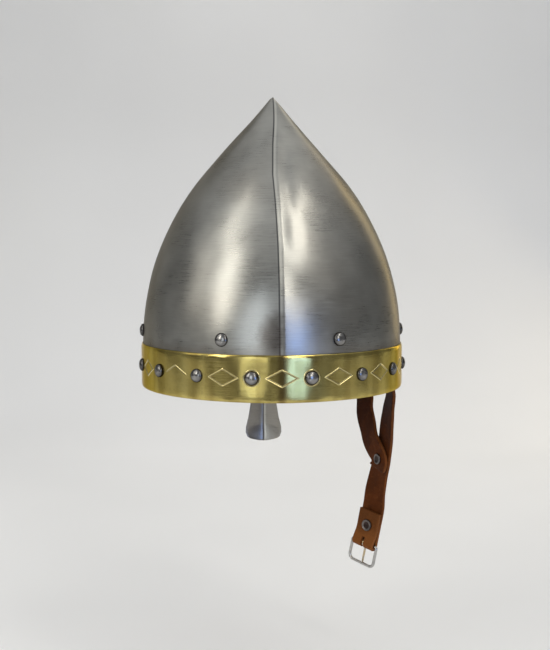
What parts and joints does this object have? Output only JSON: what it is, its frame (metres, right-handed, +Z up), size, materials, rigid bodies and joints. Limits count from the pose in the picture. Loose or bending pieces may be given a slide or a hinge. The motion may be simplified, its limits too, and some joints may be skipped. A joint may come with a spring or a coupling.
{
  "type": "nasal helmet",
  "caption": "Conical steel helmet with a nasal bar, a riveted brass rim band, a leather liner and a buckled leather chin strap.",
  "frame": {"origin": "centre of the plane of the rim's lower edge", "axes": "+Z up to the apex, +Y to the nasal (the wearer's front), +X to the wearer's right"},
  "size_m": [0.2112, 0.2392, 0.3942],
  "materials": {
    "steel": "satin brushed",
    "brass": "polished",
    "rivet_steel": "dark, domed",
    "strap_leather": "waxed red-brown",
    "liner_leather": "matt tan",
    "lace": "waxed round lace",
    "nickel": "bright nickel plate",
    "prong_brass": "worn plate"
  },
  "bodies": {
    "helmet": {"skull_right": "steel", "skull_left": "steel", "ridge_weld": "steel", "nasal": "steel", "rim_band": "brass", "nasal_rivet": "rivet_steel", "band_rivet_right_1": "rivet_steel", "band_rivet_right_2": "rivet_steel", "band_rivet_right_3": "rivet_steel", "band_rivet_right_4": "rivet_steel", "band_rivet_right_5": "rivet_steel", "band_rivet_right_6": "rivet_steel", "band_rivet_right_7": "rivet_steel", "band_rivet_right_8": "rivet_steel", "band_rivet_left_1": "rivet_steel", "band_rivet_left_2": "rivet_steel", "band_rivet_left_3": "rivet_steel", "band_rivet_left_4": "rivet_steel", "band_rivet_left_5": "rivet_steel", "band_rivet_left_6": "rivet_steel", "band_rivet_left_7": "rivet_steel", "band_rivet_left_8": "rivet_steel", "liner_rivet_right_1": "rivet_steel", "liner_rivet_right_2": "rivet_steel", "liner_rivet_right_3": "rivet_steel", "liner_rivet_left_1": "rivet_steel", "liner_rivet_left_2": "rivet_steel", "liner_rivet_left_3": "rivet_steel", "liner_washer_right_1": "rivet_steel", "liner_washer_right_2": "rivet_steel", "liner_washer_right_3": "rivet_steel", "liner_washer_left_1": "rivet_steel", "liner_washer_left_2": "rivet_steel", "liner_washer_left_3": "rivet_steel", "liner_band": "liner_leather", "liner_leaf_right_1": "liner_leather", "liner_leaf_right_2": "liner_leather", "liner_leaf_right_3": "liner_leather", "liner_leaf_left_1": "liner_leather", "liner_leaf_left_2": "liner_leather", "liner_leaf_left_3": "liner_leather", "crown_lace": "lace", "buckle_strap_tab": "strap_leather", "buckle_leg_tab": "strap_leather", "tongue_strap_tab": "strap_leather", "tongue_leg_tab": "strap_leather"},
    "buckle_strap": {"buckle_strap": "strap_leather", "buckle_strap_leg": "strap_leather", "buckle_joint_rivet": "rivet_steel", "buckle_cap_rivet": "rivet_steel"},
    "buckle_frame": {"buckle_frame": "nickel"},
    "buckle_prong": {"buckle_prong": "prong_brass"},
    "tongue_strap": {"tongue_strap": "strap_leather", "tongue_strap_leg": "strap_leather", "tongue_joint_rivet": "rivet_steel"},
    "tongue_end": {"tongue_strap_end": "strap_leather"}
  },
  "joints": [
    {"name": "buckle_strap_swing", "type": "hinge", "parent": "helmet", "child": "buckle_strap", "pos_m": [0.087, 0.03851, -0.0003], "axis": [-0.3411, 0.94, 0], "range_deg": [0, 70]},
    {"name": "buckle_hinge", "type": "hinge", "parent": "buckle_strap", "child": "buckle_frame", "pos_m": [0.08278, 0.03404, -0.14456], "axis": [0.6608, -0.7321, -0.1654], "range_deg": [-100, 100]},
    {"name": "prong_hinge", "type": "hinge", "parent": "buckle_frame", "child": "buckle_prong", "pos_m": [0.08278, 0.03404, -0.14456], "axis": [0.6608, -0.7321, -0.1654], "range_deg": [0, 105]},
    {"name": "tongue_strap_swing", "type": "hinge", "parent": "helmet", "child": "tongue_strap", "pos_m": [-0.087, 0.03851, -0.0003], "axis": [0.3411, 0.94, 0], "range_deg": [0, 165]},
    {"name": "tongue_strap_fold", "type": "hinge", "parent": "tongue_strap", "child": "tongue_end", "pos_m": [-0.06616, 0.01882, 0.0767], "axis": [-0.2185, -0.9431, 0.2508], "range_deg": [0, 40]}
  ],
  "couplings": [
    {"joint": "tongue_strap_fold", "follows": "tongue_strap_swing", "ratio": 0.2424}
  ]
}
